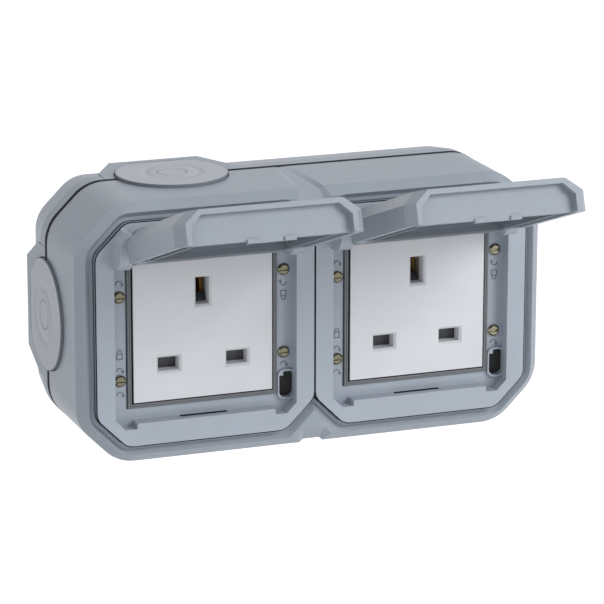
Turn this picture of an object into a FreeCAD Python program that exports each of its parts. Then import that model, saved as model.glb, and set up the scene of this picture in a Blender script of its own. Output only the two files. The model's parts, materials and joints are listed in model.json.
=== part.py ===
import FreeCAD, Part
import math
import os
import re

import Sketcher

# Outdoor weatherproof socket, two gang, for fixing to a wall.
# X runs to the right, Z runs up and Y runs into the wall. The origin is the middle of the wall face.
# "Height" below means the distance out from the wall, so a height of 50 lies at Y = -50.

DIMENSIONS = {
    # Whole body
    "gang_pitch": 71.0,
    "body_depth": 51.5,
    "seam_height": 19.1,
    "seam_gap": 0.8,
    "seam_recess": 1.3,
    "rim_margin": 5.5,
    "corner_chamfer": 13.2,
    "corner_round": 13.0,
    "shell_wall": 2.6,
    "back_wall": 2.5,
    "rear_straight": 5.5,
    "rear_draft": 2.1,
    "root_depth": 0.5,
    # Front ring of the housing
    "crest_drop": 0.6,
    "outer_bevel": 2.9,
    "ring_land": 1.2,
    "ring_facet": 1.7,
    "deck_thickness": 2.6,
    "window_half": 23.2,
    "groove_seam_half": 1.6,
    "groove_seam_floor": 1.2,
    "groove_seam_depth": 0.05,
    "groove_floor_half": 2.7,
    "groove_depth": 1.0,
    "groove_front_half": 3.5,
    "groove_front_depth": 2.0,
    "groove_slope": 1.1,
    # Cable entries
    "entry_bore": 14.0,
    "entry_disc": 17.6,
    "entry_flat": 15.4,
    "entry_proud": 1.0,
    "entry_sunk": 1.4,
    "entry_gap": 0.3,
    "entry_fit": 0.1,
    "entry_depth": 12.0,
    "entry_inside": 1.5,
    "entry_cup_wall": 1.6,
    "entry_inner_ring": 4.75,
    "entry_ring_width": 0.35,
    "entry_ring_depth": 0.25,
    "collar_half": 14.6,
    "collar_spread": 6.6,
    "collar_reach": 10.6,
    "collar_rise": 0.85,
    # Cover frame
    "frame_gap": 0.3,
    "frame_depth": 6.0,
    "frame_chamfer": 9.5,
    "frame_round": 5.0,
    "gasket_thickness": 0.4,
    "gasket_inset": 0.8,
    "recess_half": 29.4,
    "recess_foot": 29.9,
    "recess_depth": 4.5,
    "recess_chamfer": 3.2,
    "shelf_half": 22.5,
    "shelf_rise": 1.8,
    "latch_slot_half": 7.7,
    "latch_slot_width": 1.9,
    "latch_slot_depth": 2.2,
    "latch_slot_low": 0.15,
    "frame_window_gap": 0.2,
    "screw_fit": 0.05,
    "screw_slot_half": 0.38,
    "screw_slot_depth": 0.6,
    "frame_screw_x": 26.6,
    "frame_screw_far": 15.3,
    "frame_screw_near": 11.2,
    "frame_screw_radius": 1.1,
    "frame_screw_head": 1.85,
    "frame_screw_head_rise": 0.9,
    "frame_screw_dome": 0.45,
    "frame_screw_length": 8.0,
    "key_boss_x": 27.5,
    "key_boss_z": 21.6,
    "key_boss_half_w": 3.2,
    "key_boss_half_h": 4.9,
    "key_boss_round": 2.6,
    "key_boss_wall": 0.7,
    "key_step": 1.3,
    "key_boss_rise": 0.9,
    # Hinge and lid
    "hinge_height": 54.5,
    "hinge_z": 29.2,
    "hinge_pin_radius": 0.9,
    "hinge_fit": 0.05,
    "pin_cover": 1.1,
    "lug_front": 8.3,
    "lug_foot": 7.9,
    "lug_head": 4.3,
    "lug_round": 7.3,
    "lug_head_round": 1.0,
    "lug_width": 3.8,
    "lug_notch": 9.3,
    "knuckle_radius": 1.9,
    "knuckle_width": 2.6,
    "knuckle_gap": 0.3,
    "lid_gap": 0.5,
    "lid_head_gap": 0.4,
    "lid_immersion": 3.2,
    "lid_side": 6.5,
    "lid_depth": 10.4,
    "lid_wall": 2.4,
    "lid_skin": 1.8,
    "lid_end_wall": 3.8,
    "lid_bevel": 4.6,
    "lid_end_bevel": 0.8,
    "lid_head_bevel": 1.2,
    "lid_neck_bevel": 1.5,
    "lid_neck_wall": 2.6,
    "lid_chamfer_x": 2.6,
    "lid_chamfer_z": 3.6,
    "lid_open_angle": 109.4,
    "scoop_depth": 2.6,
    "scoop_lip": 1.7,
    "scoop_side": 1.6,
    "scoop_corner": 3.5,
    "seal_clear": 0.3,
    "seal_width": 1.3,
    "seal_held": 2.0,
    "seal_foot_z": 12.0,
    "seal_foot_half": 2.0,
    "tongue_reach": 0.7,
    "tab_inner": 4.0,
    "tab_outer": 7.5,
    "tab_reach": 0.6,
    "tab_rise": 0.6,
    # Surround and socket plate
    "plate_half": 22.5,
    "plate_thickness": 2.2,
    "plate_drop": 3.3,
    "surround_gap": 0.5,
    "surround_half": 24.3,
    "surround_drop": 0.4,
    "surround_edge": 0.2,
    "surround_groove": 0.25,
    "surround_ledge_gap": 0.15,
    "aperture_bevel": 0.7,
    "pin_offset": 11.115,
    "earth_half_w": 2.2,
    "earth_half_h": 4.3,
    "line_half_w": 3.45,
    "line_half_h": 2.15,
    "tunnel_wall": 0.9,
    "tunnel_depth": 4.4,
    "tunnel_fit": 0.2,
    # Mechanism
    "base_half": 21.5,
    "base_height": 22.0,
    "shutter_thickness": 2.2,
    "shutter_gap": 0.2,
    "shutter_half_w": 15.6,
    "shutter_cover": 0.6,
    "shutter_stem_half": 1.9,
    "shutter_ramp": 1.3,
    "shutter_side": 0.6,
    "stem_side": 0.4,
    "shutter_tip": 9.0,
    "shutter_travel": 5.2,
    "leaf_thickness": 0.8,
    "leaf_length": 12.5,
    "leaf_gap": 0.1,
    "terminal_height": 16.5,
    "terminal_top": 26.0,
    "terminal_screw": 1.5,
    "terminal_screw_out": 1.6,
    "terminal_screw_in": 1.5,
    "wire_radius": 1.3,
    "pin_thickness": 4.0,
    "pin_height": 7.8,
    "spring_radius": 1.2,
    "spring_wire": 0.3,
    "spring_turns": 4.0,
    "spring_shut": 2.5,
    "spring_fit": 0.1,
    # Fixings in the box
    "post_radius": 4.0,
    "post_x": 28.0,
    "post_z": 28.5,
    "post_screw": 1.5,
    "post_screw_head": 3.0,
    "post_screw_sink": 1.4,
    "post_screw_below": 0.2,
    "post_screw_room": 0.3,
    "wall_hole_radius": 2.4,
    "wall_hole_x": 54.0,
    "wall_hole_z": 22.0,
    "earth_block_half_w": 4.0,
    "earth_block_half_h": 2.8,
    "earth_block_height": 9.0,
    "earth_wire_height": 3.6,
    "earth_block_z": -24.0,
    "earth_wire_radius": 1.6,
}

doc = FreeCAD.newDocument("weatherproof_socket")
sheet = doc.addObject("Spreadsheet::Sheet", "sizes")
for row, (alias, value) in enumerate(DIMENSIONS.items(), start=1):
    sheet.set("A%d" % row, alias)
    sheet.set("B%d" % row, str(value))
    sheet.setAlias("B%d" % row, alias)
doc.recompute()

WORD = re.compile(r"\b(" + "|".join(DIMENSIONS) + r")\b")

# Heights and half sizes that many pieces share, written in the sheet's words
SHARED = {
    "CREST": "(body_depth - crest_drop)",
    "LAND": "(body_depth - crest_drop - ring_facet)",
    "FRAME_BACK": "(body_depth - frame_depth)",
    "DECK": "(body_depth - frame_depth - gasket_thickness)",
    "DECK_UNDER": "(body_depth - frame_depth - gasket_thickness - deck_thickness)",
    "FLOOR": "(body_depth - recess_depth)",
    "HALF_W": "(gang_pitch + rim_margin)",
    "HALF_H": "(gang_pitch / 2 + rim_margin)",
    "BOX_TOP": "(seam_height - seam_gap)",
    "HOLLOW_INSET": "(shell_wall + rear_draft)",
    "PLATE_FRONT": "(body_depth - plate_drop)",
    "PLATE_BACK": "(body_depth - plate_drop - plate_thickness)",
    "FRAME_HALF": "(gang_pitch / 2 - frame_gap)",
    "FRAME_CORNER": "(gang_pitch - 2 * frame_gap - frame_chamfer)",
    "RIM": "(body_depth - lid_immersion - hinge_height)",
    "LID_HALF": "(recess_half - lid_gap)",
    "LID_NECK": "(recess_half - lug_width - knuckle_gap)",
    "LID_FOOT": "(-recess_foot + lid_gap - hinge_z)",
    "LID_HEAD": "(recess_half - lid_head_gap - hinge_z)",
    "TUNNEL_END": "(body_depth - plate_drop - tunnel_depth)",
    "SHUTTER_FRONT": "(body_depth - plate_drop - tunnel_depth - shutter_gap)",
    "SHUTTER_BACK": "(body_depth - plate_drop - tunnel_depth - shutter_gap - shutter_thickness)",
    "CAVITY_FLOOR": "(body_depth - plate_drop - tunnel_depth - 2 * shutter_gap - shutter_thickness)",
    "SHUTTER_LOW": "(-pin_offset - line_half_h - shutter_cover)",
    "SHUTTER_HIGH": "(-pin_offset + line_half_h + shutter_cover)",
    "SPRING_FOOT": "(-pin_offset - line_half_h - shutter_cover - shutter_travel - spring_shut)",
}


def spell(text):
    """Replaces the shared names by their formulas."""
    for name in sorted(SHARED, key=len, reverse=True):
        text = re.sub(r"\b%s\b" % name, SHARED[name], text)
    return text


def formula(text):
    """Turns a size written in the sheet's words into an expression."""
    return WORD.sub(r"sizes.\1", spell(str(text)))


def size(text):
    """The value of a size written in the sheet's words."""
    return float(sheet.evalExpression(formula(text)))


def bind(thing, prop, text):
    """Ties one property of a feature to the sheet."""
    thing.setExpression(prop, formula(text))


def new_body(label, several=False):
    """A new sub-part. Fasteners of one kind are several solids in one body."""
    body = doc.addObject("PartDesign::Body", label)
    body.Label = label
    body.AllowCompound = several
    SUB_PARTS.append(body)
    return body


def place(body, x="0", y="0", z="0"):
    """Puts a finished piece at its place in the assembly."""
    for axis, text in zip("xyz", (x, y, z)):
        bind(body, "Placement.Base." + axis, text)


def plane_of(body, role):
    return next(item for item in body.Origin.OriginFeatures if item.Role == role)


class Round:
    """A circle in a sketch, or with a flat a disc cut straight on its wall side."""

    def __init__(self, x, y, radius, flat=None, flat_along="y"):
        self.x = x
        self.y = y
        self.radius = radius
        self.flat = flat
        self.flat_along = flat_along


class Drawing:
    """Collects the lines and rules of one sketch, so that the sketch is solved once."""

    def __init__(self):
        self.shapes = []
        self.guides = []
        self.rules = []
        self.sizes = []

    def add(self, shape, guide=False):
        self.shapes.append(shape)
        self.guides.append(guide)
        return len(self.shapes) - 1

    def rule(self, kind, *places):
        self.rules.append(Sketcher.Constraint(kind, *places))

    def sized(self, text, kind, *places):
        """A rule whose value is a size from the sheet."""
        self.sizes.append((len(self.rules), text))
        self.rules.append(Sketcher.Constraint(kind, *places, size(text)))

    def fix_point(self, shape, point, x, y):
        """Ties one point to two sizes measured from the sketch's origin."""
        if x is not None:
            self.sized(x, "DistanceX", -1, 1, shape, point)
        if y is not None:
            self.sized(y, "DistanceY", -1, 1, shape, point)

    def round(self, ring):
        """Draws a circle, or a disc with one flat side."""
        centre = FreeCAD.Vector(size(ring.x), size(ring.y), 0)
        circle = Part.Circle(centre, FreeCAD.Vector(0, 0, 1), size(ring.radius))
        if ring.flat is None:
            index = self.add(circle)
            self.fix_point(index, 3, ring.x, ring.y)
            self.sized(ring.radius, "Radius", index)
            return
        half = math.acos(size(ring.flat) / size(ring.radius))
        towards = math.pi / 2 if ring.flat_along == "y" else 0.0
        arc = Part.ArcOfCircle(circle, towards + half, towards + 2 * math.pi - half)
        index = self.add(arc)
        chord = self.add(Part.LineSegment(arc.EndPoint, arc.StartPoint))
        self.rule("Coincident", index, 2, chord, 1)
        self.rule("Coincident", chord, 2, index, 1)
        self.fix_point(index, 3, ring.x, ring.y)
        self.sized(ring.radius, "Radius", index)
        if ring.flat_along == "y":
            self.rule("Horizontal", chord)
            self.fix_point(chord, 1, None, "%s + %s" % (ring.y, ring.flat))
        else:
            self.rule("Vertical", chord)
            self.fix_point(chord, 1, "%s + %s" % (ring.x, ring.flat), None)

    def loop(self, corners):
        """Draws a closed outline. A corner is (x, y), or (x, y, radius) where it is rounded."""
        count = len(corners)
        spots = [FreeCAD.Vector(size(item[0]), size(item[1]), 0) for item in corners]
        starts = []
        ends = []
        arcs = []
        for number, corner in enumerate(corners):
            here = spots[number]
            if len(corner) == 2:
                ends.append(here)
                starts.append(here)
                arcs.append(None)
                continue
            to_last = (spots[number - 1] - here).normalize()
            to_next = (spots[(number + 1) % count] - here).normalize()
            radius = size(corner[2])
            half_angle = to_last.getAngle(to_next) / 2
            reach = radius / math.tan(half_angle)
            bisector = (to_last + to_next).normalize()
            centre = here + bisector * (radius / math.sin(half_angle))
            ends.append(here + to_last * reach)
            starts.append(here + to_next * reach)
            arcs.append(Part.Arc(ends[-1], centre - bisector * radius, starts[-1]))
        lines = []
        for number in range(count):
            lines.append(self.add(Part.LineSegment(starts[number], ends[(number + 1) % count])))
        for number, corner in enumerate(corners):
            before = lines[number - 1]
            after = lines[number]
            if arcs[number] is None:
                self.rule("Coincident", before, 2, after, 1)
                self.fix_point(after, 1, corner[0], corner[1])
                continue
            tip = self.add(Part.Point(spots[number]), guide=True)
            self.fix_point(tip, 1, corner[0], corner[1])
            self.rule("PointOnObject", tip, 1, before)
            self.rule("PointOnObject", tip, 1, after)
            arc = self.add(arcs[number])
            turn = (ends[number] - spots[number]).cross(starts[number] - spots[number]).z
            first, last = (1, 2) if turn < 0 else (2, 1)
            self.rule("Tangent", before, 2, arc, first)
            self.rule("Tangent", arc, last, after, 1)
            self.sized(corner[2], "Radius", arc)

    def put_in(self, sketch):
        for shape, guide in zip(self.shapes, self.guides):
            sketch.addGeometry(shape, guide)
        sketch.addConstraint(self.rules)
        for number, text in self.sizes:
            sketch.setExpression("Constraints[%d]" % number, formula(text))


def sketch_on(body, name, height, loops, role="XZ_Plane"):
    """A sketch on one of the body's own planes, moved out along that plane's normal."""
    sketch = body.newObject("Sketcher::SketchObject", name)
    sketch.AttachmentSupport = [(plane_of(body, role), "")]
    sketch.MapMode = "FlatFace"
    bind(sketch, "AttachmentOffset.Base.z", height)
    drawing = Drawing()
    for loop in loops:
        if isinstance(loop, Round):
            drawing.round(loop)
        else:
            drawing.loop(loop)
    drawing.put_in(sketch)
    return sketch


def pad(body, name, height, length, loops, back=False, role="XZ_Plane"):
    """Adds material from a plane, outwards unless back is set."""
    feature = body.newObject("PartDesign::Pad", name)
    feature.Profile = sketch_on(body, name + "_sketch", height, loops, role)
    bind(feature, "Length", length)
    feature.Reversed = back
    return feature


def pocket(body, name, height, length, loops, out=False, role="XZ_Plane"):
    """Cuts material from a plane, inwards unless out is set, and checks that it did cut."""
    doc.recompute()
    before = body.Tip.Shape.Volume
    feature = body.newObject("PartDesign::Pocket", name)
    feature.Profile = sketch_on(body, name + "_sketch", height, loops, role)
    bind(feature, "Length", length)
    feature.Reversed = out
    doc.recompute()
    if feature.Shape.Volume > before - 1e-6:
        raise RuntimeError("%s in %s cuts nothing" % (name, body.Label))
    return feature


def loft(body, kind, name, sections, role="XZ_Plane"):
    """A form between two outlines of the same number of corners, at two heights."""
    feature = body.newObject("PartDesign::" + kind, name)
    sketches = []
    for number, (height, corners) in enumerate(sections):
        sketches.append(sketch_on(body, "%s_section_%d" % (name, number), height, [corners], role))
    feature.Profile = sketches[0]
    feature.Sections = sketches[1:]
    feature.Ruled = True
    return feature


def dress(body, kind, name, amount, test):
    """A fillet or chamfer on the edges of the body's last feature that pass a test."""
    doc.recompute()
    base = body.Tip
    names = []
    for number, edge in enumerate(base.Shape.Edges, start=1):
        middle = edge.valueAt((edge.FirstParameter + edge.LastParameter) / 2)
        if test(middle, edge):
            names.append("Edge%d" % number)
    if not names:
        raise RuntimeError("%s in %s finds no edges" % (name, body.Label))
    feature = body.newObject("PartDesign::" + kind, name)
    feature.Base = (base, names)
    bind(feature, "Radius" if kind == "Fillet" else "Size", amount)
    return feature


def at_height(text, inside=None):
    """A test for edges that lie flat at one height, and within a limit if one is given."""
    level = -size(text)

    def test(point, edge):
        if edge.BoundBox.YLength > 1e-4 or abs(point.y - level) > 1e-4:
            return False
        return inside is None or inside(point)

    return test


def rectangle(half_w, half_h, x="0", z="0"):
    left = "%s - (%s)" % (x, half_w)
    right = "%s + (%s)" % (x, half_w)
    low = "%s - (%s)" % (z, half_h)
    high = "%s + (%s)" % (z, half_h)
    return [(left, low), (right, low), (right, high), (left, high)]


def box_between(left, right, low, high):
    return [(left, low), (right, low), (right, high), (left, high)]


def cut_corner_box(half_w, half_h, cut, radius=None):
    """A rectangle with all four corners cut at 45 degrees, and each bend rounded if asked."""
    inner_w = "(%s) - (%s)" % (half_w, cut)
    inner_h = "(%s) - (%s)" % (half_h, cut)
    corners = [
        ("-(%s)" % inner_w, "-(%s)" % half_h),
        (inner_w, "-(%s)" % half_h),
        (half_w, "-(%s)" % inner_h),
        (half_w, inner_h),
        (inner_w, half_h),
        ("-(%s)" % inner_w, half_h),
        ("-(%s)" % half_w, inner_h),
        ("-(%s)" % half_w, "-(%s)" % inner_h),
    ]
    return [corner + (radius,) for corner in corners] if radius else corners


def outline(inset, bent=True):
    """The housing's outline drawn in by some amount, its bends keeping their centres."""
    cut = "corner_chamfer - (2 - sqrt(2)) * (%s)" % inset
    return cut_corner_box("(HALF_W - (%s))" % inset, "(HALF_H - (%s))" % inset, "(%s)" % cut,
                          "corner_round - (%s)" % inset if bent else None)


def gang_union(margin):
    """The two gang squares joined into one outline, with a V where their cut corners meet."""
    far = "(gang_pitch + %s)" % margin
    high = "(gang_pitch / 2 + %s)" % margin
    cut = "(frame_chamfer + (2 - sqrt(2)) * %s)" % margin
    shoulder = "(%s - %s)" % (cut, margin)
    vee = "(%s - %s)" % (high, shoulder)
    right = [
        (shoulder, "-" + high, "frame_round"),
        ("%s - %s" % (far, cut), "-" + high, "frame_round"),
        (far, "%s - %s" % (cut, high), "frame_round"),
        (far, "%s - %s" % (high, cut), "frame_round"),
        ("%s - %s" % (far, cut), high, "frame_round"),
        (shoulder, high, "frame_round"),
    ]
    left = [("-(%s)" % x, z, bend) for x, z, bend in reversed(right)]
    return right + [("0", vee)] + left + [("0", "-" + vee)]


SUB_PARTS = []
GANGS = {"left": "-gang_pitch / 2", "right": "gang_pitch / 2"}

# Cable entries: name, the housing's side, and the place along that side
ENTRIES = [
    ("top", "XY_Plane", 1, "-gang_pitch / 2"),
    ("bottom", "XY_Plane", -1, "gang_pitch / 2"),
    ("left", "YZ_Plane", -1, "0"),
    ("right", "YZ_Plane", 1, "0"),
]
ENTRY_TURN = {"top": 0, "left": -90, "bottom": 180, "right": 90}
SEAM_MIDDLE = "(seam_height - seam_gap / 2)"

FRAME_SCREWS = [
    ("-frame_screw_x", "frame_screw_near"),
    ("-frame_screw_x", "-frame_screw_far"),
    ("frame_screw_x", "frame_screw_far"),
    ("frame_screw_x", "-frame_screw_near"),
]
POSTS = [("%d * (gang_pitch / 2 + post_x)" % side, "%d * post_z" % up) for side in (-1, 1) for up in (-1, 1)]
WALL_HOLES = [("%d * wall_hole_x" % side, "%d * wall_hole_z" % up) for side in (-1, 1) for up in (-1, 1)]


def rounds(places, radius):
    return [Round(x, z, radius) for x, z in places]


def face_of(role):
    return "HALF_H" if role == "XY_Plane" else "HALF_W"


def entry_disc(role, along, radius, flat=None):
    """The circle of a cable entry, drawn on the plane that it passes through."""
    if role == "XY_Plane":
        return Round(along, "-" + SEAM_MIDDLE, radius, flat, "y")
    return Round("-" + SEAM_MIDDLE, along, radius, flat, "x")


def cut_entries(body):
    """Bores each cable entry through the shell's wall, with the seat that its disc sits in."""
    for name, role, sign, along in ENTRIES:
        start = "%d * (%s + 1)" % (sign, face_of(role))
        pocket(body, "entry_bore_" + name, start, "entry_depth", [entry_disc(role, along, "entry_bore")],
               out=sign < 0, role=role)
        seat = entry_disc(role, along, "(entry_disc + entry_gap)", "(entry_flat + entry_gap)")
        pocket(body, "entry_seat_" + name, start, "1 + entry_sunk", [seat], out=sign < 0, role=role)


def make_rear_box():
    body = new_body("rear_box")
    taper_top = "(BOX_TOP - rear_straight)"
    pad(body, "straight_wall", taper_top, "rear_straight", [outline("0")])
    loft(body, "AdditiveLoft", "drafted_wall", [("0", outline("rear_draft")), (taper_top, outline("0"))])
    # Collars swell out beside each cable entry, most of all at the wall
    for name, role, sign, along in ENTRIES:
        inner = "(%s - HOLLOW_INSET)" % face_of(role)
        outer = "(%s + collar_rise)" % face_of(role)
        spread = "(collar_half + collar_spread)"
        cheek = "(%s + collar_rise * (BOX_TOP - collar_reach) / BOX_TOP)" % face_of(role)
        stations = [
            ("0", "collar_half", outer),
            ("collar_reach", spread, cheek),
            ("BOX_TOP", spread, face_of(role)),
        ]
        for step in (0, 1):
            sections = []
            for height, half, reach in stations[step:step + 2]:
                near = "%d * %s" % (sign, inner)
                far = "%d * %s" % (sign, reach)
                low = "%s - %s" % (along, half)
                high = "%s + %s" % (along, half)
                if role == "XY_Plane":
                    sections.append((height, [(low, near), (high, near), (high, far), (low, far)]))
                else:
                    sections.append((height, [(near, low), (far, low), (far, high), (near, high)]))
            loft(body, "AdditiveLoft", "collar_%s_%d" % (name, step), sections)
    pocket(body, "hollow", "BOX_TOP", "BOX_TOP - back_wall", [outline("HOLLOW_INSET", bent=False)])
    pad(body, "screw_posts", "back_wall", "BOX_TOP - back_wall", rounds(POSTS, "post_radius"))
    pocket(body, "post_bores", "BOX_TOP", "BOX_TOP - 2 * back_wall", rounds(POSTS, "(post_screw + screw_fit)"))
    pocket(body, "wall_holes", "back_wall + 1", "back_wall + 2", rounds(WALL_HOLES, "wall_hole_radius"))
    cut_entries(body)


def make_seam_gasket():
    body = new_body("seam_gasket", several=True)
    pad(body, "ring", "BOX_TOP", "seam_gap", [outline("seam_recess"), outline("HOLLOW_INSET", bent=False)])
    for name, role, sign, along in ENTRIES:
        pocket(body, "entry_" + name, "%d * (%s + 1)" % (sign, face_of(role)), "entry_depth",
               [entry_disc(role, along, "(entry_disc + entry_gap)")], out=sign < 0, role=role)


def make_front_housing():
    body = new_body("front_housing")
    pad(body, "shell", "seam_height", "CREST - seam_height", [outline("0")])
    dress(body, "Chamfer", "outer_bevel", "outer_bevel", at_height("CREST"))
    loft(body, "SubtractiveLoft", "ring",
         [("CREST", gang_union("(ring_land + ring_facet)")), ("LAND", gang_union("ring_land"))])
    pocket(body, "hollow", "seam_height", "DECK_UNDER - seam_height",
           [outline("HOLLOW_INSET", bent=False)], out=True)
    pocket(body, "frame_seat", "CREST", "CREST - DECK", [gang_union("0")])
    windows = [rectangle("window_half", "window_half", centre) for centre in GANGS.values()]
    pocket(body, "mechanism_windows", "DECK + 1", "deck_thickness + 2", windows)
    pad(body, "screw_tubes", "seam_height", "DECK_UNDER - seam_height", rounds(POSTS, "post_radius"))
    pocket(body, "tube_bores", "DECK + 1", "DECK + 2 - seam_height", rounds(POSTS, "(post_screw + screw_fit)"))
    pocket(body, "tube_heads", "DECK + 1", "1 + post_screw_sink",
           rounds(POSTS, "(post_screw_head + post_screw_room)"))
    # The wedge groove between the gangs deepens from the seam to the bevel, and follows the bevel
    bevel_start = "(CREST - outer_bevel)"
    for name, sign in (("top", 1), ("bottom", -1)):
        stations = [
            ("seam_height", "0", "groove_seam_floor", "groove_seam_depth",
             "(groove_seam_half - groove_seam_floor)"),
            (bevel_start, "0", "groove_floor_half", "groove_depth", "(groove_slope * groove_depth)"),
            ("CREST", "outer_bevel", "groove_front_half", "groove_front_depth",
             "(groove_slope * groove_front_depth)"),
        ]
        sections = []
        for height, drop, floor_half, depth, flare in stations:
            rise = "(1 + %s)" % drop
            lip_half = "(%s + %s * (%s + %s) / %s)" % (floor_half, flare, depth, rise, depth)
            lip = "%d * (HALF_H - %s + %s)" % (sign, drop, rise)
            floor = "%d * (HALF_H - %s - %s)" % (sign, drop, depth)
            sections.append((height, [("-" + lip_half, lip), ("-" + floor_half, floor),
                                      (floor_half, floor), (lip_half, lip)]))
        loft(body, "SubtractiveLoft", "groove_" + name, sections[:2])
        loft(body, "SubtractiveLoft", "groove_front_" + name, sections[1:])
    holes = [Round("%s + %s" % (centre, x), z, "(frame_screw_radius + screw_fit)")
             for centre in GANGS.values() for x, z in FRAME_SCREWS]
    pocket(body, "frame_screw_holes", "DECK + 1", "deck_thickness + 2", holes)
    cut_entries(body)


def make_grommet(name, role, sign, along):
    """A rubber entry grommet: a disc with one side cut flat, a cup behind it and fine rings."""
    body = new_body("entry_grommet_" + name)
    plug = "(HOLLOW_INSET + entry_inside)"
    pad(body, "disc", "-entry_sunk", "entry_sunk + entry_proud",
        [Round("0", "0", "entry_disc", "entry_flat", "y")], role="XY_Plane")
    pad(body, "plug", "-%s" % plug, "%s - entry_sunk" % plug,
        [Round("0", "0", "(entry_bore - entry_fit)"), Round("0", "0", "(entry_bore - entry_cup_wall)")],
        role="XY_Plane")
    pocket(body, "ring", "entry_proud", "entry_ring_depth",
           [Round("0", "0", "entry_inner_ring"), Round("0", "0", "(entry_inner_ring - entry_ring_width)")],
           role="XY_Plane")
    body.Placement.Rotation = FreeCAD.Rotation(FreeCAD.Vector(0, 1, 0), ENTRY_TURN[name])
    if role == "XY_Plane":
        place(body, along, "-" + SEAM_MIDDLE, "%d * HALF_H" % sign)
    else:
        place(body, "%d * HALF_W" % sign, "-" + SEAM_MIDDLE, along)


def make_housing_screws():
    body = new_body("housing_screws", several=True)
    seat = "(DECK - post_screw_sink)"
    pad(body, "shanks", "2 * back_wall + 1", "%s - 2 * back_wall - 1" % seat, rounds(POSTS, "post_screw"))
    pad(body, "heads", seat, "post_screw_sink - post_screw_below", rounds(POSTS, "post_screw_head"))
    slots = [rectangle("post_screw_head + 1", "screw_slot_half", x, z) for x, z in POSTS]
    pocket(body, "slots", "DECK - post_screw_below", "screw_slot_depth", slots)


def make_earth_terminal():
    body = new_body("wall_earth_terminal")
    face = "(back_wall + earth_block_height)"
    wire = "(back_wall + earth_wire_height)"
    pad(body, "block", "back_wall", "earth_block_height",
        [rectangle("earth_block_half_w", "earth_block_half_h", "0", "earth_block_z")])
    pocket(body, "wire_way", "earth_block_half_h + earth_block_z + 1", "2 + 2 * earth_block_half_h",
           [Round("0", "-" + wire, "earth_wire_radius")], role="XY_Plane")
    pocket(body, "screw_way", face, "%s - %s" % (face, wire),
           [Round("0", "earth_block_z", "(terminal_screw + screw_fit)")])
    screw = new_body("wall_earth_screw")
    tip = "(%s + earth_wire_radius / 2)" % wire
    pad(screw, "shank", tip, "%s - %s + terminal_screw_out" % (face, tip),
        [Round("0", "earth_block_z", "terminal_screw")])
    pocket(screw, "slot", face + " + terminal_screw_out", "screw_slot_depth",
           [rectangle("terminal_screw + 1", "screw_slot_half", "0", "earth_block_z")])


def recess_outline():
    """The hollow front of a cover frame, with its raised shelf along the foot."""
    foot = "-recess_foot"
    shelf = "(shelf_rise - recess_foot)"
    return [
        ("-recess_half", "recess_half"),
        ("-recess_half", "recess_chamfer - recess_foot"),
        ("recess_chamfer - recess_half", foot),
        ("-shelf_half", foot),
        ("-shelf_half", shelf),
        ("shelf_half", shelf),
        ("shelf_half", foot),
        ("recess_half - recess_chamfer", foot),
        ("recess_half", "recess_chamfer - recess_foot"),
        ("recess_half", "recess_half"),
    ]


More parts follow.
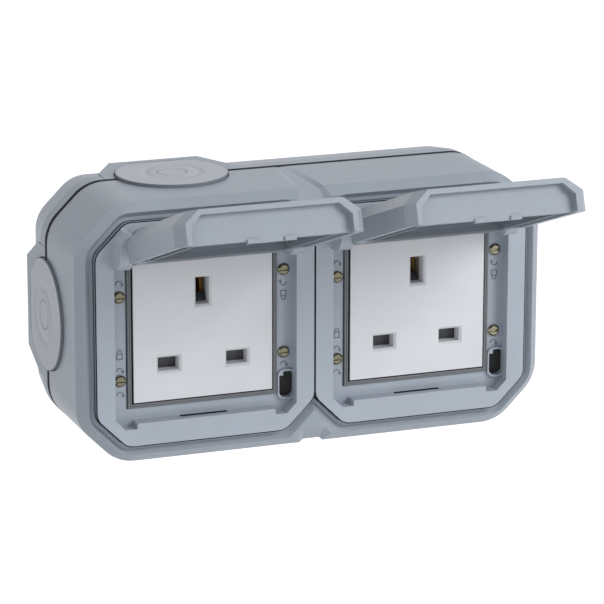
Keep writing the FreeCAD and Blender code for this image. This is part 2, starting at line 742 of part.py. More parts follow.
def make_cover_frame(gang, centre):
    body = new_body(gang + "_cover_frame")
    pad(body, "frame", "FRAME_BACK", "frame_depth",
        [cut_corner_box("FRAME_HALF", "FRAME_HALF", "frame_chamfer", "frame_round")])
    pocket(body, "recess", "body_depth", "recess_depth", [recess_outline()])
    # Hinge lugs stand at the two upper corners and follow the frame's cut corner
    lug_low = "(hinge_z - lug_foot)"
    lug_high = "(hinge_z + lug_head)"
    for name, sign in (("left", -1), ("right", 1)):
        start = "%d * (recess_half - lug_width)" % sign
        side = [
            ("-(FLOOR - root_depth)", lug_low),
            ("-(body_depth + lug_front)", lug_low, "lug_round"),
            ("-(body_depth + lug_front)", lug_high, "lug_head_round"),
            ("-(FLOOR - root_depth)", lug_high),
        ]
        pad(body, "lug_" + name, start, "lug_width + root_depth", [side], back=sign < 0, role="YZ_Plane")
        far = "(recess_half + root_depth + 1)"
        beyond = "(%s + 1)" % lug_high
        corner = [
            ("%d * %s" % (sign, far), "(FRAME_CORNER - %s)" % far),
            ("%d * %s" % (sign, far), beyond),
            ("%d * (FRAME_CORNER - %s)" % (sign, beyond), beyond),
        ]
        pocket(body, "lug_corner_" + name, "body_depth + lug_front + 1", "lug_front + frame_depth + 1",
               [corner])
        pocket(body, "lug_bore_" + name, "%d * (recess_half - lug_width - 1)" % sign, "lug_width",
               [Round("-hinge_height", "hinge_z", "(hinge_pin_radius + hinge_fit)")], out=sign > 0,
               role="YZ_Plane")
    pocket(body, "latch_slot", "shelf_rise - recess_foot + 1", "1 + latch_slot_depth",
           [box_between("-latch_slot_half", "latch_slot_half", "-(FLOOR + latch_slot_low + latch_slot_width)",
                        "-(FLOOR + latch_slot_low)")], role="XY_Plane")
    boss = box_between("key_boss_x - key_boss_half_w", "key_boss_x + key_boss_half_w",
                       "-key_boss_z - key_boss_half_h", "-key_boss_z + key_boss_half_h")
    pad(body, "key_boss", "FLOOR - root_depth", "root_depth + key_boss_rise",
        [[corner + ("key_boss_round",) for corner in boss]])
    # The boss's bore has a step in its upper inner corner, so that its key goes in one way only
    left = "key_boss_x - key_boss_half_w + key_boss_wall"
    right = "key_boss_x + key_boss_half_w - key_boss_wall"
    low = "-key_boss_z - key_boss_half_h + key_boss_wall"
    high = "-key_boss_z + key_boss_half_h - key_boss_wall"
    bore = [
        (left, low, "key_boss_round - key_boss_wall"),
        (right, low, "key_boss_round - key_boss_wall"),
        (right, high, "key_boss_round - key_boss_wall"),
        (left + " + key_step", high),
        (left + " + key_step", high + " - key_step"),
        (left, high + " - key_step"),
    ]
    pocket(body, "key_bore", "FLOOR + key_boss_rise", "key_boss_rise + recess_depth", [bore])
    pocket(body, "window", "body_depth", "frame_depth + 1",
           [rectangle("surround_half + frame_window_gap", "surround_half + frame_window_gap")])
    pocket(body, "screw_holes", "body_depth", "frame_depth + 1",
           rounds(FRAME_SCREWS, "(frame_screw_radius + screw_fit)"))
    place(body, centre)


def make_frame_gasket(gang, centre):
    body = new_body(gang + "_frame_gasket")
    pad(body, "sheet", "DECK", "gasket_thickness",
        [cut_corner_box("(FRAME_HALF - gasket_inset)", "(FRAME_HALF - gasket_inset)", "frame_chamfer"),
         rectangle("surround_half + frame_window_gap", "surround_half + frame_window_gap")])
    pocket(body, "screw_holes", "DECK + 1", "gasket_thickness + 2",
           rounds(FRAME_SCREWS, "(frame_screw_radius + screw_fit)"))
    place(body, centre)


def make_frame_screws(gang, centre):
    body = new_body(gang + "_frame_screws", several=True)
    pad(body, "shanks", "FLOOR - frame_screw_length", "frame_screw_length",
        rounds(FRAME_SCREWS, "frame_screw_radius"))
    pad(body, "heads", "FLOOR", "frame_screw_head_rise", rounds(FRAME_SCREWS, "frame_screw_head"))
    dress(body, "Chamfer", "domes", "frame_screw_dome", at_height("FLOOR + frame_screw_head_rise"))
    slots = [rectangle("frame_screw_head + 1", "screw_slot_half", x, z) for x, z in FRAME_SCREWS]
    pocket(body, "slots", "FLOOR + frame_screw_head_rise", "screw_slot_depth", slots)
    place(body, centre)


def make_hinge_pins(gang, centre):
    body = new_body(gang + "_hinge_pins", several=True)
    for name, sign in (("left", -1), ("right", 1)):
        start = "%d * (LID_NECK - knuckle_width)" % sign
        pad(body, "pin_" + name, start, "lug_width + knuckle_gap + knuckle_width - pin_cover",
            [Round("-hinge_height", "hinge_z", "hinge_pin_radius")], back=sign < 0, role="YZ_Plane")
    place(body, centre)


def lid_outline(half, foot, head, neck):
    """A lid's outline: a narrower neck at the hinge between the lugs, and two cut free corners."""
    return [
        ("-(%s)" % neck, head),
        ("-(%s)" % neck, "-lug_notch"),
        ("-(%s)" % half, "-lug_notch"),
        ("-(%s)" % half, "%s + lid_chamfer_z" % foot),
        ("lid_chamfer_x - (%s)" % half, foot),
        ("%s - lid_chamfer_x" % half, foot),
        (half, "%s + lid_chamfer_z" % foot),
        (half, "-lug_notch"),
        (neck, "-lug_notch"),
        (neck, head),
    ]


def lid_room(half, foot, head, neck):
    """The outline of a lid's hollow, with the same neck."""
    return [
        ("-(%s)" % neck, head),
        ("-(%s)" % neck, "-(lug_notch + lid_wall)"),
        ("-(%s)" % half, "-(lug_notch + lid_wall)"),
        ("-(%s)" % half, foot),
        (half, foot),
        (half, "-(lug_notch + lid_wall)"),
        (neck, "-(lug_notch + lid_wall)"),
        (neck, head),
    ]


def place_lid(body, centre):
    """Swings a piece of the lid open about the hinge line and sets it on its gang."""
    body.Placement.Rotation = FreeCAD.Rotation(FreeCAD.Vector(-1, 0, 0), size("lid_open_angle"))
    bind(body, "Placement.Rotation.Angle", "lid_open_angle")
    place(body, centre, "-hinge_height", "hinge_z")


def make_lid(gang, centre):
    """A lid, drawn shut with the hinge line at the origin."""
    body = new_body(gang + "_lid")
    shoulder = "(RIM + lid_side)"
    top = "(RIM + lid_depth)"
    outer = lid_outline("LID_HALF", "LID_FOOT", "LID_HEAD", "LID_NECK")
    outer_top = lid_outline("(LID_HALF - lid_bevel)", "(LID_FOOT + lid_end_bevel)",
                            "(LID_HEAD - lid_head_bevel)", "(LID_NECK - lid_neck_bevel)")
    pad(body, "side_wall", "RIM", "lid_side", [outer])
    loft(body, "AdditiveLoft", "bevelled_top", [(shoulder, outer), (top, outer_top)])
    inner_half = "(LID_HALF - lid_wall)"
    inner_neck = "(LID_NECK - lid_neck_wall)"
    inner_foot = "(LID_FOOT + lid_end_wall)"
    inner_head = "(LID_HEAD - lid_wall)"
    inner_shoulder = "(RIM + lid_side - lid_wall / 2)"
    room = lid_room(inner_half, inner_foot, inner_head, inner_neck)
    room_top = lid_room("(%s - lid_bevel / 2)" % inner_half, "(%s + lid_skin / 2)" % inner_foot,
                        "(%s - lid_skin / 2)" % inner_head, "(%s - lid_bevel / 2)" % inner_neck)
    pocket(body, "hollow", "RIM", "lid_side - lid_wall / 2", [room], out=True)
    loft(body, "SubtractiveLoft", "hollow_top", [(inner_shoulder, room), (top + " - lid_skin", room_top)])
    # Knuckles carry the lid on its two pins
    for name, sign in (("left", -1), ("right", 1)):
        start = "%d * (LID_NECK - knuckle_width)" % sign
        pad(body, "knuckle_" + name, start, "knuckle_width", [Round("0", "0", "knuckle_radius")],
            back=sign < 0, role="YZ_Plane")
        pocket(body, "pin_bore_" + name, "%d * (LID_NECK - knuckle_width - 0.1)" % sign,
               "knuckle_width + 1", [Round("0", "0", "(hinge_pin_radius + hinge_fit)")], out=sign > 0,
               role="YZ_Plane")
    # The finger scoop in the free end, under the overhanging lip
    scoop_half = "(LID_HALF - lid_chamfer_x - scoop_side)"
    scoop_top = "(%s - scoop_lip)" % top
    scoop = [
        ("-" + scoop_half, "-(RIM - 1)"),
        (scoop_half, "-(RIM - 1)"),
        (scoop_half, "-(%s - scoop_corner)" % scoop_top),
        ("%s - scoop_corner" % scoop_half, "-" + scoop_top),
        ("scoop_corner - " + scoop_half, "-" + scoop_top),
        ("-" + scoop_half, "-(%s - scoop_corner)" % scoop_top),
    ]
    pocket(body, "scoop", "LID_FOOT", "scoop_depth", [scoop], out=True, role="XY_Plane")
    # A tongue with two catches drops towards the frame's latch slot
    pad(body, "tongue", "RIM - tongue_reach", "tongue_reach + 1",
        [box_between("-tab_outer", "tab_outer", "LID_FOOT + scoop_depth", inner_foot)])
    catches = [box_between(left, right, "-(RIM + tab_rise)", "-(RIM - tongue_reach)")
               for left, right in (("-tab_outer", "-tab_inner"), ("tab_inner", "tab_outer"))]
    pad(body, "catches", "LID_FOOT + scoop_depth", "tab_reach", catches, back=True, role="XY_Plane")
    place_lid(body, centre)


def make_lid_seal(gang, centre):
    """A soft ring in the lid that closes round the rim of the socket plate."""
    body = new_body(gang + "_lid_seal")
    low = "(PLATE_FRONT + seal_clear - hinge_height)"
    high = "(RIM + seal_held)"
    outer = "(LID_NECK - lid_neck_wall)"
    inner = "(LID_NECK - lid_neck_wall - seal_width)"
    pad(body, "ring", low, "%s - %s" % (high, low),
        [rectangle(outer, outer, "0", "-hinge_z"), rectangle(inner, inner, "0", "-hinge_z")])
    # Four feet hold the ring to the lid's outer skin
    foot_x = "(LID_NECK - lid_neck_wall - seal_width / 2)"
    feet = [rectangle("seal_width / 2", "seal_foot_half", "%d * %s" % (side, foot_x),
                      "(%d * seal_foot_z - hinge_z)" % up) for side in (-1, 1) for up in (-1, 1)]
    pad(body, "feet", high, "lid_depth - lid_skin - seal_held", feet)
    place_lid(body, centre)


def make_surround(gang, centre):
    body = new_body(gang + "_surround")
    top = "(PLATE_FRONT - surround_drop)"
    outer = rectangle("surround_half", "surround_half")
    ledge = "base_half + surround_ledge_gap"
    pad(body, "ledge", "DECK", "PLATE_BACK - DECK", [outer, rectangle(ledge, ledge)])
    inner = "plate_half + surround_gap"
    pad(body, "ring", "PLATE_BACK", top + " - PLATE_BACK", [outer, rectangle(inner, inner)])
    dress(body, "Chamfer", "edges", "surround_edge", at_height(top))
    middle = "((surround_half + plate_half + surround_gap) / 2)"
    pocket(body, "fine_groove", top, "surround_groove",
           [rectangle("(%s + surround_groove / 2)" % middle, "(%s + surround_groove / 2)" % middle),
            rectangle("(%s - surround_groove / 2)" % middle, "(%s - surround_groove / 2)" % middle)])
    place(body, centre)


def apertures(extra="0"):
    """The earth, line and neutral openings of a socket, each grown by some amount."""
    earth = rectangle("earth_half_w + %s" % extra, "earth_half_h + %s" % extra, "0", "pin_offset")
    live = [rectangle("line_half_w + %s" % extra, "line_half_h + %s" % extra, x, "-pin_offset")
            for x in ("-pin_offset", "pin_offset")]
    return [earth] + live


def make_socket_plate(gang, centre):
    body = new_body(gang + "_socket_plate")
    pad(body, "plate", "PLATE_BACK", "plate_thickness", [rectangle("plate_half", "plate_half")])
    pad(body, "tunnels", "TUNNEL_END", "tunnel_depth - root_depth", apertures("tunnel_wall"))
    pocket(body, "apertures", "PLATE_FRONT", "tunnel_depth + 1", apertures())
    edge = size("plate_half - 1")
    dress(body, "Chamfer", "aperture_edges", "aperture_bevel",
          at_height("PLATE_FRONT", lambda point: abs(point.x) < edge and abs(point.z) < edge))
    place(body, centre)


def make_socket_base(gang, centre):
    body = new_body(gang + "_socket_base")
    pad(body, "block", "base_height", "PLATE_BACK - base_height", [rectangle("base_half", "base_half")])
    # Room for the shutter, its stem and its spring
    pocket(body, "shutter_room", "PLATE_BACK", "PLATE_BACK - CAVITY_FLOOR",
           [box_between("-(shutter_half_w + shutter_side)", "shutter_half_w + shutter_side", "SPRING_FOOT",
                        "SHUTTER_HIGH + shutter_side")])
    pocket(body, "stem_room", "PLATE_BACK", "PLATE_BACK - CAVITY_FLOOR",
           [box_between("-(shutter_stem_half + stem_side)", "shutter_stem_half + stem_side",
                        "-pin_offset", "shutter_tip + 1")])
    earth, *live = apertures("(tunnel_wall + tunnel_fit)")
    pocket(body, "earth_tunnel", "PLATE_BACK", "PLATE_BACK - base_height", [earth])
    pocket(body, "live_tunnels", "PLATE_BACK", "PLATE_BACK - base_height", live)
    place(body, centre)


def make_contact(gang, kind, centre, x, z, half_w, half_h, upright):
    """A brass contact: a terminal block with two spring leaves that grip the pin."""
    body = new_body("%s_%s_contact" % (gang, kind))
    wide = "(%s + tunnel_wall + tunnel_fit)" % half_w
    tall = "(%s + tunnel_wall + tunnel_fit)" % half_h
    pad(body, "terminal", "terminal_height", "terminal_top - terminal_height", [rectangle(wide, tall, x, z)])
    grip = "(pin_thickness / 2 + leaf_gap)"
    if upright:
        leaves = [box_between("%s + %s" % (x, grip), "%s + %s + leaf_thickness" % (x, grip),
                              "%s - pin_height / 2" % z, "%s + pin_height / 2" % z),
                  box_between("%s - %s - leaf_thickness" % (x, grip), "%s - %s" % (x, grip),
                              "%s - pin_height / 2" % z, "%s + pin_height / 2" % z)]
    else:
        leaves = [box_between("%s - line_half_w" % x, "%s + line_half_w" % x,
                              "%s + %s" % (z, grip), "%s + %s + leaf_thickness" % (z, grip)),
                  box_between("%s - line_half_w" % x, "%s + line_half_w" % x,
                              "%s - %s - leaf_thickness" % (z, grip), "%s - %s" % (z, grip))]
    pad(body, "leaves", "terminal_top - root_depth", "leaf_length + root_depth", leaves)
    pocket(body, "wire_way", "%s + %s + 1" % (z, tall), "2 + 2 * %s" % tall,
           [Round(x, "-(terminal_height + wire_radius + 1)", "wire_radius")], role="XY_Plane")
    pocket(body, "screw_way", "terminal_height", "terminal_screw_in + wire_radius",
           [Round(x, z, "(terminal_screw + screw_fit)")], out=True)
    place(body, centre)


def make_terminal_screws(gang, centre):
    body = new_body(gang + "_terminal_screws", several=True)
    spots = [("0", "pin_offset"), ("-pin_offset", "-pin_offset"), ("pin_offset", "-pin_offset")]
    pad(body, "shanks", "terminal_height - terminal_screw_out", "terminal_screw_out + terminal_screw_in",
        rounds(spots, "terminal_screw"))
    slots = [rectangle("terminal_screw + 1", "screw_slot_half", x, z) for x, z in spots]
    pocket(body, "slots", "terminal_height - terminal_screw_out", "screw_slot_depth", slots, out=True)
    place(body, centre)


def make_shutter(gang, centre):
    """A shutter that hides the live openings until the earth pin pushes its stem down."""
    body = new_body(gang + "_shutter")
    plan = [
        ("-shutter_half_w", "SHUTTER_LOW"),
        ("shutter_half_w", "SHUTTER_LOW"),
        ("shutter_half_w", "SHUTTER_HIGH"),
        ("shutter_stem_half", "SHUTTER_HIGH"),
        ("shutter_stem_half", "shutter_tip"),
        ("-shutter_stem_half", "shutter_tip"),
        ("-shutter_stem_half", "SHUTTER_HIGH"),
        ("-shutter_half_w", "SHUTTER_HIGH"),
    ]
    pad(body, "slide", "SHUTTER_BACK", "shutter_thickness", [plan])
    tip = size("shutter_tip")
    dress(body, "Chamfer", "ramp", "shutter_ramp",
          at_height("SHUTTER_FRONT", lambda point: abs(point.z - tip) < 1e-3))
    place(body, centre)


def make_shutter_spring(gang, centre):
    """The coil spring under the shutter, standing on the floor of the shutter's room."""
    body = new_body(gang + "_shutter_spring")
    helix = body.newObject("PartDesign::AdditiveHelix", "coil")
    profile = sketch_on(body, "wire_sketch", "(CAVITY_FLOOR + spring_radius + spring_wire + spring_fit)",
                        [rectangle("spring_wire", "spring_wire", "spring_radius", "SPRING_FOOT + spring_wire")])
    helix.Profile = profile
    helix.ReferenceAxis = (profile, ["V_Axis"])
    helix.Mode = 1
    doc.recompute()
    bind(helix, "Turns", "spring_turns")
    bind(helix, "Pitch", "(SHUTTER_LOW - SPRING_FOOT - 2 * spring_wire - spring_fit) / spring_turns")
    place(body, centre)


make_rear_box()
make_front_housing()
make_seam_gasket()
make_housing_screws()
make_earth_terminal()
for entry in ENTRIES:
    make_grommet(*entry)
for gang, centre in GANGS.items():
    make_cover_frame(gang, centre)
    make_frame_gasket(gang, centre)
    make_frame_screws(gang, centre)
    make_hinge_pins(gang, centre)
    make_lid(gang, centre)
    make_lid_seal(gang, centre)
    make_surround(gang, centre)
    make_socket_plate(gang, centre)
    make_socket_base(gang, centre)
    make_contact(gang, "earth", centre, "0", "pin_offset", "earth_half_w", "earth_half_h", True)
    make_contact(gang, "line", centre, "pin_offset", "-pin_offset", "line_half_w", "line_half_h", False)
    make_contact(gang, "neutral", centre, "-pin_offset", "-pin_offset", "line_half_w", "line_half_h", False)
    make_terminal_screws(gang, centre)
    make_shutter(gang, centre)
    make_shutter_spring(gang, centre)

doc.recompute()
for thing in doc.Objects:
    if "Invalid" in thing.State or "Error" in thing.State:
        raise RuntimeError("%s failed to build" % thing.Label)
for part in SUB_PARTS:
    if part.Shape.isNull() or not part.Shape.isValid():
        raise RuntimeError("%s has no sound shape" % part.Label)

os.makedirs("parts", exist_ok=True)
for part in SUB_PARTS:
    part.Shape.exportStep("parts/%s.step" % part.Label)
    print("%-28s %3d solids %10.1f mm3" % (part.Label, len(part.Shape.Solids), part.Shape.Volume))
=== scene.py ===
# %% [markdown]
# # A two gang outdoor socket
#
# This lesson dresses a ready construction model of a weatherproof wall socket.
# The model holds every moulded piece at its real size. Here it gets its finishes,
# painted shade in its joints and latch slots, small raised signs, a camera, soft
# light and a pale room.

import json
import math

import bpy
from mathutils import Matrix, Vector


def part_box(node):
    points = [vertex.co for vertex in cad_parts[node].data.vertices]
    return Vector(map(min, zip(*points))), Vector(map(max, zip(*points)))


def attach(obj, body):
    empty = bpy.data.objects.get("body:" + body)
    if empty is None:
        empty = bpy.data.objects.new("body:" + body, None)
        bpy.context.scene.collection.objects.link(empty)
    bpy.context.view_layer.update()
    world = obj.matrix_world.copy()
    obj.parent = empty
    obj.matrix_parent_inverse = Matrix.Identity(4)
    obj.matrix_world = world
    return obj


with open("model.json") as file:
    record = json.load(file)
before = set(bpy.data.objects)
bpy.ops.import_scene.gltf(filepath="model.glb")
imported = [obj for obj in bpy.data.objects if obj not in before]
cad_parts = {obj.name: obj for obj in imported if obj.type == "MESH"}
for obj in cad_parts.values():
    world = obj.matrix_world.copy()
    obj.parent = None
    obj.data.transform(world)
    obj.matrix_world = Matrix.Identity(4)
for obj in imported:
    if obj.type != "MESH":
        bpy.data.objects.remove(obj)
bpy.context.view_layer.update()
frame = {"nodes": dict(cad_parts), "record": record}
nodes = frame["nodes"]
print("pieces in the model:", len(nodes))

# %% [markdown]
# ## Places in millimetres
#
# The drawing of the real product is in millimetres, and Blender works in metres.
# A small helper turns a place on the drawing into Blender's units, so that the
# numbers below read like the drawing. The wall is at Y = 0 and the front faces -Y.

# %% Millimetres
MM = 0.001
GANGS = {"left": -35.5, "right": 35.5}


def mm(x, y, z):
    """A place on the drawing, in Blender's metres."""
    return Vector((x * MM, y * MM, z * MM))


# %% [markdown]
# ## The camera
#
# The photograph was taken from the left and from above, with a long lens from
# about a metre away. The place and the turn were found by fitting the corners of
# the plates and frames. A long lens keeps the two outlets nearly the same size.

# %% Camera
CAMERA_PLACE = mm(-370.15, -1024.11, 290.5)
CAMERA_YAW = math.radians(-20.61)
CAMERA_PITCH = math.radians(-15.34)
CAMERA_ROLL = math.radians(-0.11)
SENSOR_MM = 36
PICTURE_WIDTH = 604
LENS_PIXELS = 3493.07
LENS_MM = LENS_PIXELS * SENSOR_MM / PICTURE_WIDTH

turn = (
    Matrix.Rotation(CAMERA_YAW, 3, "Z")
    @ Matrix.Rotation(CAMERA_PITCH, 3, "X")
    @ Matrix.Rotation(CAMERA_ROLL, 3, "Y")
)
bpy.ops.object.select_all(action="DESELECT")
bpy.ops.object.camera_add(location=CAMERA_PLACE)
camera = bpy.context.object
camera.name = "camera"
camera.rotation_euler = (turn @ Matrix.Rotation(math.pi / 2, 3, "X")).to_euler()
camera.data.sensor_width = SENSOR_MM
camera.data.lens = LENS_MM
camera.data.clip_start = 0.05
camera.data.clip_end = 20
bpy.context.scene.camera = camera
print("lens in mm:", round(LENS_MM, 1))

# %% [markdown]
# ## Shared surface effects
#
# Several materials share an effect, such as grain. It could be built again in each
# of them. A node group holds it once instead, and each material places the group
# with its own values. Three small helpers keep the building of nodes short.

# %% Helpers for nodes
def new_group(name, inputs, outputs):
    """A shader node group with named number inputs and outputs."""
    group = bpy.data.node_groups.new(name, "ShaderNodeTree")
    for label, value in inputs.items():
        socket = group.interface.new_socket(label, in_out="INPUT", socket_type="NodeSocketFloat")
        socket.default_value = value
    for label in outputs:
        group.interface.new_socket(label, in_out="OUTPUT", socket_type="NodeSocketFloat")
    group.nodes.new("NodeGroupInput")
    group.nodes.new("NodeGroupOutput")
    return group


def add_node(tree, kind, **values):
    """Adds a node and sets its unlinked inputs or its properties by name."""
    node = tree.nodes.new(kind)
    for label, value in values.items():
        if label in node.inputs:
            node.inputs[label].default_value = value
        else:
            setattr(node, label, value)
    return node


def maths(tree, operation, first, second):
    """A sum, product or other step between two numbers or sockets."""
    node = tree.nodes.new("ShaderNodeMath")
    node.operation = operation
    for socket, value in zip(node.inputs, (first, second)):
        if isinstance(value, (int, float)):
            socket.default_value = value
        else:
            tree.links.new(value, socket)
    return node.outputs[0]


print("node groups so far:", len(bpy.data.node_groups))

# %% [markdown]
# All the plastic pieces come out of steel moulds. A mould that was etched leaves
# a very fine grain, and cooling leaves the surface slightly uneven over a few
# millimetres. A picture of grain could be laid over the pieces, but it needs
# unwrapped meshes and repeats itself. Noise on the piece's own coordinates needs
# neither. Both effects are heights, so one group adds them up.

# %% Moulded grain
grain = new_group(
    "moulded_grain",
    {"Grain Size": 0.35, "Grain": 1.0, "Unevenness": 1.0},
    ["Height", "Mottle"],
)
given = grain.nodes["Group Input"].outputs
place = add_node(grain, "ShaderNodeTexCoord").outputs["Object"]
fine = add_node(grain, "ShaderNodeTexNoise", Detail=3.0, Roughness=0.6)
scale = maths(grain, "DIVIDE", 1 / MM, given["Grain Size"])
grain.links.new(place, fine.inputs["Vector"])
grain.links.new(scale, fine.inputs["Scale"])
broad = add_node(grain, "ShaderNodeTexNoise", Scale=90.0, Detail=2.0, Roughness=0.5)
grain.links.new(place, broad.inputs["Vector"])
fine_part = maths(grain, "MULTIPLY", fine.outputs["Fac"], given["Grain"])
broad_part = maths(grain, "MULTIPLY", broad.outputs["Fac"], given["Unevenness"])
result = grain.nodes["Group Output"].inputs
grain.links.new(maths(grain, "ADD", fine_part, broad_part), result["Height"])
grain.links.new(broad.outputs["Fac"], result["Mottle"])
print("group:", grain.name)

# %% [markdown]
# ## Sandblasted bands
#
# Two places on the real product are coarser than the rest: the free ends of the
# lids, where a finger pulls, and the band round the cover frames. They were
# blasted in the mould. The bands could be painted by hand. Here each is a stretch
# along one direction of the piece, so the group measures how far a place lies along
# it and lets the sand in there, which keeps the band's ends sharp.

# %% Sandy band
sandy = new_group(
    "sandy_band",
    {"Along Y": 0.0, "Along Z": 0.0, "Start": 0.0, "End": 1.0, "Sand": 0.05},
    ["Height"],
)
given = sandy.nodes["Group Input"].outputs
place = add_node(sandy, "ShaderNodeTexCoord").outputs["Object"]
apart = add_node(sandy, "ShaderNodeSeparateXYZ")
sandy.links.new(place, apart.inputs[0])
along = maths(
    sandy,
    "ADD",
    maths(sandy, "MULTIPLY", apart.outputs["Y"], given["Along Y"]),
    maths(sandy, "MULTIPLY", apart.outputs["Z"], given["Along Z"]),
)
inside = maths(
    sandy,
    "MULTIPLY",
    maths(sandy, "GREATER_THAN", along, given["Start"]),
    maths(sandy, "LESS_THAN", along, given["End"]),
)
sand = add_node(sandy, "ShaderNodeTexNoise", Scale=1900.0, Detail=2.0, Roughness=0.7)
sandy.links.new(place, sand.inputs["Vector"])
strength = maths(sandy, "MULTIPLY", sand.outputs["Fac"], given["Sand"])
strength = maths(sandy, "MULTIPLY", strength, inside)
sandy.links.new(strength, sandy.nodes["Group Output"].inputs["Height"])
print("group:", sandy.name)

# %% [markdown]
# ## The plastic finishes
#
# Colours are easier to judge as screen values from 0 to 255 than as the linear light
# that Blender works with. So they are written as screen values, which were tuned
# until the render looked like the photograph, and a helper turns them into light.

# %% Screen colours
def screen_colour(red, green, blue):
    """A colour written as screen values, turned into linear light by the sRGB curve."""
    def linear(value):
        value /= 255
        return value / 12.92 if value <= 0.04045 else ((value + 0.055) / 1.055) ** 2.4

    return (linear(red), linear(green), linear(blue), 1.0)


HOUSING_GREY = screen_colour(150, 158, 168)
print("housing grey as light:", [round(part, 3) for part in HOUSING_GREY[:3]])

# %% [markdown]
# A moulded material is a satin surface whose colour drifts a little, whose
# roughness drifts with it, and whose edges are never knife sharp. The edges could
# be bevelled in the mesh, but the bevel node rounds them for the light alone, which
# keeps the construction as it is. One function makes every plastic finish.

# %% A moulded material
GRAIN_SIZE = 0.35
COLOUR_DRIFT = 0.05
ROUGHNESS_DRIFT = 0.03
MOTTLE_LOW = 0.3
MOTTLE_HIGH = 0.7
EDGE_SAMPLES = 6


def moulded(name, colour, roughness, grain_depth=0.02, uneven=0.012, edge=0.25, specular=0.5, sand=None):
    """A satin plastic with fine grain, slight drift of colour and soft edges."""
    material = bpy.data.materials.new(name)
    material.use_nodes = True
    tree = material.node_tree
    shader = tree.nodes["Principled BSDF"]
    shader.inputs["Specular IOR Level"].default_value = specular
    effect = add_node(tree, "ShaderNodeGroup")
    effect.node_tree = grain
    effect.inputs["Grain Size"].default_value = GRAIN_SIZE
    effect.inputs["Grain"].default_value = grain_depth
    effect.inputs["Unevenness"].default_value = uneven
    tint = add_node(tree, "ShaderNodeMixRGB", blend_type="MIX")
    tint.inputs["Color1"].default_value = [c * (1 - COLOUR_DRIFT) for c in colour[:3]] + [1.0]
    tint.inputs["Color2"].default_value = [min(1.0, c * (1 + COLOUR_DRIFT)) for c in colour[:3]] + [1.0]
    tree.links.new(effect.outputs["Mottle"], tint.inputs["Fac"])
    tree.links.new(tint.outputs["Color"], shader.inputs["Base Color"])
    rough = add_node(tree, "ShaderNodeMapRange")
    rough.inputs["From Min"].default_value = MOTTLE_LOW
    rough.inputs["From Max"].default_value = MOTTLE_HIGH
    rough.inputs["To Min"].default_value = roughness - ROUGHNESS_DRIFT
    rough.inputs["To Max"].default_value = roughness + ROUGHNESS_DRIFT
    tree.links.new(effect.outputs["Mottle"], rough.inputs["Value"])
    tree.links.new(rough.outputs["Result"], shader.inputs["Roughness"])
    soft_edge = add_node(tree, "ShaderNodeBevel", Radius=edge * MM)
    soft_edge.samples = EDGE_SAMPLES
    bump = add_node(tree, "ShaderNodeBump", Strength=1.0, Distance=MM)
    height = effect.outputs["Height"]
    if sand:
        blasted = add_node(tree, "ShaderNodeGroup")
        blasted.node_tree = sandy
        for label, value in sand.items():
            blasted.inputs[label].default_value = value
        height = maths(tree, "ADD", height, blasted.outputs["Height"])
    tree.links.new(height, bump.inputs["Height"])
    tree.links.new(soft_edge.outputs["Normal"], bump.inputs["Normal"])
    tree.links.new(bump.outputs["Normal"], shader.inputs["Normal"])
    return material


print("grain size in mm:", GRAIN_SIZE)

# %% [markdown]
# The lids' band is measured from the hinge along the open lid, and the band round
# the frames by its height above the wall.

# %% Places of the bands
HINGE = mm(0, -54.5, 29.2)
LID_ANGLE = math.radians(109.4)
LID_WAY = (-math.sin(LID_ANGLE), -math.cos(LID_ANGLE))
HINGE_ALONG = HINGE.y * LID_WAY[0] + HINGE.z * LID_WAY[1]
LID_BAND = (55.5 * MM, 57.5 * MM)
FRONT_BAND = (49.0 * MM, 50.85 * MM)

lid_end = {
    "Along Y": LID_WAY[0],
    "Along Z": LID_WAY[1],
    "Start": HINGE_ALONG + LID_BAND[0],
    "End": HINGE_ALONG + LID_BAND[1],
    "Sand": 0.07,
}
front_band = {
    "Along Y": -1.0,
    "Along Z": 0.0,
    "Start": FRONT_BAND[0],
    "End": FRONT_BAND[1],
    "Sand": 0.09,
}
print("way along the open lid:", [round(part, 3) for part in LID_WAY])

# %% [markdown]
# The real product has three greys: the shells, the cover frames, which are a little
# lighter, and the surrounds, which are darker. The plates are a silvery white and
# finer in their grain. What only the scene adds, the painted shade in the joints and
# the latch slots, is nearly black.

# %% The plastic pieces' finishes
silver = screen_colour(215, 216, 220)

finishes = {
    "housing": moulded("housing_grey", HOUSING_GREY, 0.42),
    "front_housing": moulded("front_housing_grey", HOUSING_GREY, 0.42, sand=front_band),
    "frame": moulded("frame_grey", screen_colour(166, 174, 184), 0.40),
    "lid": moulded("lid_grey", screen_colour(149, 157, 167), 0.42, sand=lid_end),
    "seal": moulded("black_rubber", screen_colour(22, 22, 24), 0.6, edge=0.1),
    "lid_seal": moulded("lid_seal_grey", screen_colour(118, 124, 132), 0.6, edge=0.1),
    "plate": moulded("silver_plate", silver, 0.36, grain_depth=0.008, uneven=0.004, edge=0.1),
    "surround": moulded("surround_grey", screen_colour(112, 116, 120), 0.35, edge=0.12),
    # The near black finish is painted shade: it fills narrow gaps and the latch slots where shadow
    # falls.
    "joint": moulded("joint_black", screen_colour(9, 9, 10), 0.7, edge=0.05, specular=0.15),
    "base": moulded("base_white", screen_colour(206, 206, 200), 0.5),
    "shutter": moulded("shutter_dark", screen_colour(60, 62, 66), 0.45),
}
print("plastic finishes:", len(finishes))

# %% [markdown]
# ## The cable entry discs
#
# Each entry is closed by a soft disc. It has a shallow ring pressed into it about
# half way out, and a small dimple where it was moulded. They could be cut into the
# mesh, but the model's meshes stay as they are, and both only show as faint shading.
# So they are heights that depend on the distance from the disc's middle.

